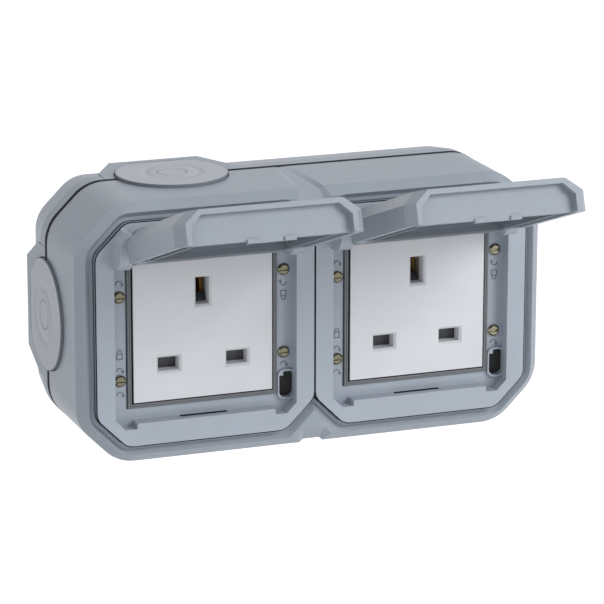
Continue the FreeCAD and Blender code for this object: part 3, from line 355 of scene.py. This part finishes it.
# %% Distance from a disc's middle
pressed = new_group(
    "pressed_rings",
    {"Middle X": 0.0, "Middle Y": 0.0, "Middle Z": 0.0},
    ["Height", "Edge"],
)
given = pressed.nodes["Group Input"].outputs
place = add_node(pressed, "ShaderNodeTexCoord").outputs["Object"]
middle = add_node(pressed, "ShaderNodeCombineXYZ")
for axis in "XYZ":
    pressed.links.new(given["Middle " + axis], middle.inputs[axis])
reach = add_node(pressed, "ShaderNodeVectorMath", operation="DISTANCE")
pressed.links.new(place, reach.inputs[0])
pressed.links.new(middle.outputs[0], reach.inputs[1])
print("group:", pressed.name)

# %% [markdown]
# A hollow is deepest at one distance and fades out to both sides. With a distance
# of zero it is a dimple.

# %% Ring and dimple
def hollow_at(radius, width, depth):
    """A smooth hollow ring: deepest at one radius and gone a width away from it."""
    away = maths(pressed, "SUBTRACT", reach.outputs["Value"], radius * MM)
    away = maths(pressed, "ABSOLUTE", away, 0.0)
    ramp = add_node(pressed, "ShaderNodeMapRange", interpolation_type="SMOOTHSTEP")
    ramp.inputs["From Max"].default_value = width * MM
    ramp.inputs["To Min"].default_value = -depth
    ramp.inputs["To Max"].default_value = 0.0
    pressed.links.new(away, ramp.inputs["Value"])
    return ramp.outputs["Result"]


ring = hollow_at(radius=8.6, width=2.2, depth=0.45)
dimple = hollow_at(radius=0.0, width=0.9, depth=0.15)
depth = maths(pressed, "ADD", ring, dimple)
pressed.links.new(depth, pressed.nodes["Group Output"].inputs["Height"])
print("nodes in the group:", len(pressed.nodes))

# %% [markdown]
# The disc's rim is painted darker than its face, as painted shade on its side wall and
# along its flat. The rim is round, and flat on the side of the wall, so its mask is
# full beyond a distance from the middle or from the flat.

# %% The mask of the rim's painted shade
DISC_RADIUS = 17.6
DISC_FLAT = 15.4
RIM_LINE = 0.2
FLAT_LINE = 1.0
MASK_SOFTNESS = 0.1


def beyond(value, limit):
    """A soft mask that is full where a value passes a limit."""
    ramp = add_node(pressed, "ShaderNodeMapRange", interpolation_type="SMOOTHSTEP")
    ramp.inputs["From Min"].default_value = (limit - MASK_SOFTNESS) * MM
    ramp.inputs["From Max"].default_value = (limit + MASK_SOFTNESS) * MM
    pressed.links.new(value, ramp.inputs["Value"])
    return ramp.outputs["Result"]


apart = add_node(pressed, "ShaderNodeSeparateXYZ")
pressed.links.new(place, apart.inputs[0])
to_wall = maths(pressed, "SUBTRACT", apart.outputs["Y"], given["Middle Y"])
# The mask marks the rim, where a darker grey is painted as shade.
round_rim_shade = beyond(reach.outputs["Value"], DISC_RADIUS - RIM_LINE)
edge = maths(pressed, "MAXIMUM", round_rim_shade, beyond(to_wall, DISC_FLAT - FLAT_LINE))
pressed.links.new(edge, pressed.nodes["Group Output"].inputs["Edge"])
print("nodes in the group:", len(pressed.nodes))

# %% [markdown]
# Each disc has a material of its own, because the rings lie round its own middle,
# on its outer face. The rings' height is added to the grain, and the mask mixes a
# darker grey into the colour as painted shade on the rim.

# %% One finish for each disc
SIDES = ("top", "bottom", "left", "right")
DISC_MIDDLE = 18.7
DISC_GREY = screen_colour(176, 180, 187)
# A darker grey, painted on the rim as shade.
DISC_RIM_SHADE_GREY = screen_colour(116, 122, 130)


def disc_finish(name, middle):
    """The discs' soft grey, with the pressed rings round one disc's middle and painted shade on its rim.
    """
    material = moulded(name, DISC_GREY, 0.5)
    tree = material.node_tree
    rings = add_node(tree, "ShaderNodeGroup")
    rings.node_tree = pressed
    for axis, value in zip("XYZ", middle):
        rings.inputs["Middle " + axis].default_value = value
    bump = next(node for node in tree.nodes if node.type == "BUMP")
    before = bump.inputs["Height"].links[0].from_socket
    tree.links.new(maths(tree, "ADD", before, rings.outputs["Height"]), bump.inputs["Height"])
    shader = tree.nodes["Principled BSDF"]
    shade = add_node(tree, "ShaderNodeMixRGB", blend_type="MIX")
    shade.inputs["Color2"].default_value = DISC_RIM_SHADE_GREY
    tree.links.new(rings.outputs["Edge"], shade.inputs["Fac"])
    tree.links.new(shader.inputs["Base Color"].links[0].from_socket, shade.inputs["Color1"])
    tree.links.new(shade.outputs["Color"], shader.inputs["Base Color"])
    return material


for side in SIDES:
    low, high = (Vector(corner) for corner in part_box("entry_grommet_" + side))
    middle = (low + high) / 2
    middle.y = -DISC_MIDDLE * MM
    axis = 2 if side in ("top", "bottom") else 0
    middle[axis] = high[axis] if side in ("top", "right") else low[axis]
    finishes["entry_grommet_" + side] = disc_finish("entry_disc_" + side, middle)
print("disc finishes:", len(SIDES))

# %% [markdown]
# ## The metal finishes
#
# The cover screws are steel with a yellow plating, the contacts are brass strip,
# and the hidden screws and springs are bright steel. Turned and drawn metal has
# fine scratches. They could be bumps, but at this size only their sparkle shows, so
# a stretched noise breaks up the roughness.

# %% Metals
SCRATCH_SCALE = 2500.0
SCRATCH_STRETCH = (1.0, 0.15, 1.0)
SCRATCH_SMOOTHER = 0.08
SCRATCH_ROUGHER = 0.1
METAL_EDGE = 0.12


def metal(name, colour, roughness):
    """Bare or plated metal with fine scratches in its roughness."""
    material = bpy.data.materials.new(name)
    material.use_nodes = True
    tree = material.node_tree
    shader = tree.nodes["Principled BSDF"]
    shader.inputs["Base Color"].default_value = colour
    shader.inputs["Metallic"].default_value = 1.0
    place = add_node(tree, "ShaderNodeTexCoord").outputs["Object"]
    stretch = add_node(tree, "ShaderNodeMapping")
    stretch.inputs["Scale"].default_value = SCRATCH_STRETCH
    tree.links.new(place, stretch.inputs["Vector"])
    noise = add_node(tree, "ShaderNodeTexNoise", Scale=SCRATCH_SCALE, Detail=2.0)
    tree.links.new(stretch.outputs["Vector"], noise.inputs["Vector"])
    rough = add_node(tree, "ShaderNodeMapRange")
    rough.inputs["To Min"].default_value = roughness - SCRATCH_SMOOTHER
    rough.inputs["To Max"].default_value = roughness + SCRATCH_ROUGHER
    tree.links.new(noise.outputs["Fac"], rough.inputs["Value"])
    tree.links.new(rough.outputs["Result"], shader.inputs["Roughness"])
    soft_edge = add_node(tree, "ShaderNodeBevel", Radius=METAL_EDGE * MM)
    soft_edge.samples = EDGE_SAMPLES
    tree.links.new(soft_edge.outputs["Normal"], shader.inputs["Normal"])
    return material


finishes["brass_screw"] = metal("yellow_plated_screw", screen_colour(108, 104, 88), 0.16)
finishes["contact"] = metal("contact_brass", screen_colour(206, 160, 92), 0.3)
finishes["steel_screw"] = metal("plated_steel", screen_colour(190, 190, 190), 0.3)
finishes["spring"] = metal("spring_wire", screen_colour(175, 175, 175), 0.25)
print("finishes in all:", len(finishes))

# %% [markdown]
# ## Each piece gets its finish
#
# A finish is named after one piece, such as "front_housing", after a kind of piece
# that each outlet has, such as "lid", or after one of the record's material slots.
# The loop looks for a finish in that order, so every piece finds one.

# %% Dress the model
slot_of = {item["node"]: item["material_slot"] for item in frame["record"]["subparts"]}
for name, piece in nodes.items():
    kind = name.split("_", 1)[1]
    finish = next(key for key in (name, kind, slot_of[name]) if key in finishes)
    piece.data.materials.clear()
    piece.data.materials.append(finishes[finish])
print("dressed:", len(slot_of))

# %% [markdown]
# ## Raised signs beside the screws
#
# Beside each cover screw the mould leaves small raised signs: an arrow that shows
# the way to turn it, and a padlock. Each is a thin line in low relief. It could be a
# picture on the frame, but real relief catches the light from every side. A flat
# shape is drawn, an inset turns it into a line, and Solidify gives it its height.

# %% Line shapes
SIGN_LINE = 0.27
LEVEL = 1e-6
FACING_FRONT = (math.pi / 2, 0, 0)


def start_shape(add, **values):
    """Adds a flat shape that faces the front and opens it for editing."""
    bpy.ops.object.select_all(action="DESELECT")
    add(location=(0, 0, 0), rotation=FACING_FRONT, enter_editmode=True, **values)
    return bpy.context.object


def start_disc(corners, radius):
    """Starts a flat disc with a number of corners: three make a triangle."""
    add = bpy.ops.mesh.primitive_circle_add
    return start_shape(add, vertices=corners, radius=radius * MM, fill_type="NGON")


def leave_line():
    """Insets the flat shape and takes out its middle, so that a line is left."""
    bpy.ops.mesh.select_all(action="SELECT")
    bpy.ops.mesh.inset(thickness=SIGN_LINE * MM)
    bpy.ops.mesh.delete(type="FACE")


def keep_upper_half():
    """Cuts the shape level through its middle and keeps what is above."""
    bpy.ops.mesh.select_all(action="SELECT")
    bpy.ops.mesh.bisect(plane_co=(0, 0, 0), plane_no=(0, 0, 1), clear_inner=True)


def pull_feet_down(way):
    """Lengthens the ends of an arc, which lie level with its middle, straight down."""
    mesh = bpy.context.object.data
    bpy.ops.mesh.select_all(action="DESELECT")
    bpy.ops.mesh.select_mode(type="EDGE")
    bpy.ops.object.mode_set(mode="OBJECT")
    for edge in mesh.edges:
        ends = [mesh.vertices[index].co for index in edge.vertices]
        edge.select = all(abs(end.y) < LEVEL for end in ends)
    bpy.ops.object.mode_set(mode="EDIT")
    bpy.ops.mesh.extrude_region_move(TRANSFORM_OT_translate={"value": (0, 0, -way * MM)})


print("line width in mm:", SIGN_LINE)

# %% [markdown]
# A sign of two shapes is joined into one. Each sign is modelled once, facing the
# front, and then copied to its places. Every copy has a mesh of its own and rides on
# the housing, so that it stays where it is when a lid moves.

# %% Joining and copying
def join_to(main):
    """Makes the shape in hand a part of an earlier one."""
    main.select_set(True)
    bpy.context.view_layer.objects.active = main
    bpy.ops.object.join()


def set_copy(master, name, place, angle=0.0):
    """Sets a copy of a modelled piece in its place, with a mesh of its own."""
    bpy.ops.object.select_all(action="DESELECT")
    master.select_set(True)
    bpy.context.view_layer.objects.active = master
    bpy.ops.object.duplicate(linked=False)
    piece = bpy.context.object
    piece.name = name
    piece.rotation_euler.y = math.radians(angle)
    piece.location = place
    bpy.ops.object.transform_apply(location=True, rotation=True, scale=True)
    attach(piece, "housing")


# %% [markdown]
# The padlock is a square ring with a bow on top. The bow is a round ring cut in
# half, whose two ends are pulled down to the body.

# %% Padlock
LOCK_SIZE = 2.0
BOW_RADIUS = 0.78
BOW_FEET = 0.45
BOW_LIFT = 1.43
ROUND = 24

padlock = start_shape(bpy.ops.mesh.primitive_plane_add, size=LOCK_SIZE * MM)
leave_line()
bpy.ops.object.mode_set(mode="OBJECT")
start_disc(ROUND, BOW_RADIUS)
leave_line()
keep_upper_half()
pull_feet_down(BOW_FEET)
bpy.ops.mesh.select_all(action="SELECT")
bpy.ops.transform.translate(value=(0, 0, BOW_LIFT * MM))
bpy.ops.object.mode_set(mode="OBJECT")
join_to(padlock)
print("padlock corners:", len(padlock.data.vertices))

# %% [markdown]
# The arrow is half a round ring with a small triangle at one end.

# %% Arrow
TRIANGLE = 3
ARROW_RADIUS = 1.15
HEAD_RADIUS = 0.62
HEAD_DROP = 0.25

arrow = start_disc(ROUND, ARROW_RADIUS)
leave_line()
keep_upper_half()
bpy.ops.object.mode_set(mode="OBJECT")
start_disc(TRIANGLE, HEAD_RADIUS)
bpy.ops.mesh.select_all(action="SELECT")
bpy.ops.transform.rotate(value=math.pi, orient_axis="Y", center_override=(0, 0, 0))
bpy.ops.transform.translate(value=mm(ARROW_RADIUS - SIGN_LINE / 2, 0, -HEAD_DROP))
bpy.ops.object.mode_set(mode="OBJECT")
join_to(arrow)
print("arrow corners:", len(arrow.data.vertices))

# %% [markdown]
# Solidify gives both signs their height. The back lies a hair inside the floor of
# the recess, so that no light passes under it.

# %% Give the signs their height
SIGN_RISE = 0.14
SIGN_SUNK = 0.03

for sign in (padlock, arrow):
    bpy.ops.object.select_all(action="DESELECT")
    sign.select_set(True)
    bpy.context.view_layer.objects.active = sign
    bpy.ops.object.modifier_add(type="SOLIDIFY")
    sign.modifiers[-1].thickness = (SIGN_RISE + SIGN_SUNK) * MM
    sign.modifiers[-1].offset = 1.0
    bpy.ops.object.modifier_apply(modifier=sign.modifiers[-1].name)
    bpy.ops.object.transform_apply(location=True, rotation=True, scale=True)
    print(sign.name, "depth in mm:", round(sign.dimensions.y / MM, 3))

# %% [markdown]
# The places repeat on both outlets. Each line holds the sign, its x from the outlet's
# middle, its z and the angle that it is turned by.

# %% Set the signs in their places
RECESS_FLOOR = -47.0
SIGN_PLACES = [
    (arrow, -26.6, 15.2, 0.0),
    (padlock, -26.6, -7.6, 0.0),
    (arrow, -26.6, -12.3, 0.0),
    (arrow, -26.6, -19.9, 0.0),
    (arrow, 26.6, 11.2, 180.0),
    (padlock, 26.6, 7.6, 180.0),
    (arrow, 26.6, -15.4, 0.0),
]

# The signs are a darker grey than the frame: painted shade, so that the thin relief reads as shadowed.
sign_shade_grey = moulded("sign_shade_grey", screen_colour(108, 115, 124), 0.5, edge=0.05)
for master in (padlock, arrow):
    master.data.materials.append(sign_shade_grey)
for gang, middle in GANGS.items():
    for number, (master, x, z, angle) in enumerate(SIGN_PLACES, start=1):
        place = mm(middle + x, RECESS_FLOOR + SIGN_SUNK, z)
        set_copy(master, "%s_sign_%d" % (gang, number), place, angle)
for master in (padlock, arrow):
    bpy.data.objects.remove(master)
print("signs:", len(GANGS) * len(SIGN_PLACES))

# %% [markdown]
# ## Painted shade in the joints
#
# Where two pieces meet, the photograph shows a fine black line: round each cover
# frame, round each socket plate, and where the front housing sits on the rear box.
# These lines are the shadow in narrow gaps. Near black rings set into the gaps paint
# that shade, so that it shows from every side. Each one starts as a flat square that
# is drawn out to size.
# Bevelling its corners twice gives cut corners with soft bends, an inset leaves a
# ring, and Solidify gives the ring its depth. A bevel cuts a blunt corner a little
# deeper than a circle does, so its reach is taken a little shorter. When a cut shape
# grows all round, its cuts grow by less, which CUT_GROWTH stands for.

# %% A ring of painted shade
CUT_GROWTH = 2 - math.sqrt(2)
BLUNT_BEVEL = 0.887
BEND_REACH = BLUNT_BEVEL * math.tan(math.radians(22.5))
BEND_STEPS = 8


def bevel_corners(reach, segments):
    """Cuts or rounds every corner of the flat shape that is being edited."""
    bpy.ops.mesh.select_all(action="SELECT")
    bpy.ops.mesh.bevel(offset=reach * MM, segments=segments, profile=0.5, affect="VERTICES")


def shade_ring(name, half_w, half_h, width, front, depth, cut=0.0, bend=0.0):
    """A near black ring of painted shade that faces the front: its outer half sizes, width, front height
    and depth.
    """
    ring = start_shape(bpy.ops.mesh.primitive_plane_add, size=2 * half_h * MM)
    bpy.ops.mesh.select_all(action="SELECT")
    bpy.ops.transform.resize(value=(half_w / half_h, 1, 1), center_override=(0, 0, 0))
    if cut:
        bevel_corners(cut, 1)
        bevel_corners(bend * BEND_REACH, BEND_STEPS)
    bpy.ops.mesh.select_all(action="SELECT")
    bpy.ops.mesh.inset(thickness=width * MM)
    bpy.ops.mesh.delete(type="FACE")
    bpy.ops.object.mode_set(mode="OBJECT")
    ring.name = name
    bpy.ops.object.modifier_add(type="SOLIDIFY")
    ring.modifiers[-1].thickness = depth * MM
    ring.modifiers[-1].offset = -1.0
    bpy.ops.object.modifier_apply(modifier=ring.modifiers[-1].name)
    ring.location = mm(0, -front, 0)
    bpy.ops.object.transform_apply(location=True, rotation=True, scale=True)
    ring.data.materials.append(finishes["joint"])
    print(name, "size in mm:", [round(length / MM, 2) for length in ring.dimensions])
    return ring


print("reach of a bend 1 mm round:", round(BEND_REACH, 3))

# %% [markdown]
# The lip round a cover frame fills half of the gap between the two frames. The ring
# round a socket plate lies between the plate and its surround. Both are modelled
# once, in the middle, and copied to the two outlets.

# %% Rings of each outlet
FRAME_HALF = 35.2
FRAME_CUT = 9.5
FRAME_BEND = 5.0
LIP = 0.29
LIP_BITE = 0.05
PLATE_HALF = 22.5
PLATE_GAP = 0.5

half = FRAME_HALF + LIP
frame_lip = shade_ring("frame_lip", half, half, LIP + LIP_BITE, front=51.44, depth=0.3,
                        cut=FRAME_CUT + CUT_GROWTH * LIP, bend=FRAME_BEND + LIP)
half = PLATE_HALF + PLATE_GAP
plate_joint = shade_ring("plate_joint", half, half, PLATE_GAP, front=47.7, depth=0.4)
for ring in (frame_lip, plate_joint):
    for gang, middle in GANGS.items():
        set_copy(ring, "%s_%s" % (gang, ring.name), mm(middle, 0, 0))
    bpy.data.objects.remove(ring)

# %% [markdown]
# The joint between the two shells goes all the way round. It bulges out by a hair.

# %% Ring of the shells
SHELL_HALF_W = 76.5
SHELL_HALF_H = 41.0
SHELL_CUT = 13.2
SHELL_BEND = 13.0
BULGE = 0.08

# The seam ring is near black painted shade for the shadow in the gap between the shells.
seam_lip = shade_ring("seam_lip", SHELL_HALF_W + BULGE, SHELL_HALF_H + BULGE, width=0.6,
                       front=19.65, depth=1.9,
                       cut=SHELL_CUT + CUT_GROWTH * BULGE, bend=SHELL_BEND + BULGE)
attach(seam_lip, "housing")

# %% [markdown]
# ## The latch slots
#
# Under each outlet a slot takes the lid's catches. The dark inside it is painted
# shade: a near black block lies at its bottom and stands in for the slot's shadow.
# The block is a cube pressed to the slot's size, with its edges bevelled. It is
# modelled once too, in the middle.

# %% Painted shade in the latch slots
SLOT_MIDDLE = mm(0, -48.1, -28.63)
SLOT_SIZE = (15.36, 1.86, 1.0)
SLOT_SHADE_EDGE = 0.06

bpy.ops.object.select_all(action="DESELECT")
bpy.ops.mesh.primitive_cube_add(size=1, location=(0, 0, 0))
slot_shade = bpy.context.object
slot_shade.scale = [length * MM for length in SLOT_SIZE]
slot_shade.location = SLOT_MIDDLE
bpy.ops.object.transform_apply(location=True, rotation=True, scale=True)
bpy.ops.object.mode_set(mode="EDIT")
bpy.ops.mesh.select_all(action="SELECT")
bpy.ops.mesh.bevel(offset=SLOT_SHADE_EDGE * MM, segments=2)
bpy.ops.object.mode_set(mode="OBJECT")
# The block takes the near black finish as painted shade.
slot_shade.data.materials.append(finishes["joint"])
for gang, middle in GANGS.items():
    set_copy(slot_shade, gang + "_latch_pad", mm(middle, 0, 0))
bpy.data.objects.remove(slot_shade)
print("latch pads:", len(GANGS))

# %% [markdown]
# ## Light
#
# The photograph has soft studio light: a large lamp from the upper right in front,
# weaker ones from the lower right, from the left and from above, and white walls all
# round that fill the shadows. Large area lamps far away give the same wide, soft
# highlights on satin plastic. Each line holds a lamp's name, its place and its size
# in metres, and its power in watts.

# %% Lamps
CENTRE = mm(0, -30, 0)
LAMPS = (
    ("key", (1.0, -1.2, 0.9), 0.9, 18),
    ("fill", (-1.3, -1.1, 0.1), 1.2, 4.5),
    ("low_front", (0.9, -1.0, -0.7), 0.9, 7.5),
    ("top", (0.0, 0.1, 1.4), 1.0, 1.8),
)


def area_lamp(name, place, size, power):
    """A square soft lamp that looks at the middle of the socket."""
    bpy.ops.object.select_all(action="DESELECT")
    bpy.ops.object.light_add(type="AREA", location=place)
    lamp = bpy.context.object
    lamp.name = name
    lamp.rotation_euler = (CENTRE - place).to_track_quat("-Z", "Y").to_euler()
    lamp.data.shape = "SQUARE"
    lamp.data.size = size
    lamp.data.energy = power


for name, place, size, power in LAMPS:
    area_lamp(name, Vector(place), size, power)
print("lamps:", len(LAMPS))

# %% [markdown]
# ## A white room
#
# The world is a pale grey that lights the socket evenly. For rays that come from
# the camera, straight or by way of a mirror or glass, it is plain white, as the
# photograph's background is.

# %% World
ROOM_LIGHT = 0.42
ROOM_COLOUR = (0.93, 0.96, 1.0, 1)
WHITE = (1, 1, 1, 1)


def shows_background(tree):
    """One for the rays that show the background: camera, glass and mirror rays."""
    path = add_node(tree, "ShaderNodeLightPath")
    either = maths(tree, "MAXIMUM", path.outputs["Is Camera Ray"], path.outputs["Is Transmission Ray"])
    return maths(tree, "MAXIMUM", either, path.outputs["Is Glossy Ray"])


scene = bpy.context.scene
scene.view_settings.view_transform = "Standard"
world = bpy.data.worlds.new("white_room")
scene.world = world
world.use_nodes = True
sky = world.node_tree
sky.nodes.clear()
seen = add_node(sky, "ShaderNodeBackground", Color=WHITE, Strength=1.0)
lit = add_node(sky, "ShaderNodeBackground", Color=ROOM_COLOUR, Strength=ROOM_LIGHT)
mix = add_node(sky, "ShaderNodeMixShader")
sky.links.new(shows_background(sky), mix.inputs["Fac"])
sky.links.new(lit.outputs[0], mix.inputs[1])
sky.links.new(seen.outputs[0], mix.inputs[2])
out = add_node(sky, "ShaderNodeOutputWorld")
sky.links.new(mix.outputs[0], out.inputs["Surface"])
print("world:", world.name)

# %% [markdown]
# The socket hangs on a wall, well above the floor. The floor is a wide pale
# sheet. For the same rays it also glows a little, so that it meets the white
# room without a line and still takes a soft shadow.

# %% Floor
FLOOR_HEIGHT = -0.45
FLOOR_SIZE = 12
FLOOR_GLOW = 0.75

bpy.ops.object.select_all(action="DESELECT")
bpy.ops.mesh.primitive_plane_add(size=FLOOR_SIZE, location=(0, 0, FLOOR_HEIGHT))
floor = bpy.context.object
floor.name = "floor"
paper = bpy.data.materials.new("white_paper")
paper.use_nodes = True
tree = paper.node_tree
tree.nodes.clear()
sheet = add_node(tree, "ShaderNodeBsdfDiffuse", Color=(0.85, 0.85, 0.85, 1))
glow = add_node(tree, "ShaderNodeEmission", Color=WHITE)
shining = maths(tree, "MULTIPLY", shows_background(tree), FLOOR_GLOW)
tree.links.new(shining, glow.inputs["Strength"])
both = add_node(tree, "ShaderNodeAddShader")
tree.links.new(sheet.outputs[0], both.inputs[0])
tree.links.new(glow.outputs[0], both.inputs[1])
out = add_node(tree, "ShaderNodeOutputMaterial")
tree.links.new(both.outputs[0], out.inputs["Surface"])
floor.data.materials.append(paper)
print("floor size in m:", FLOOR_SIZE)
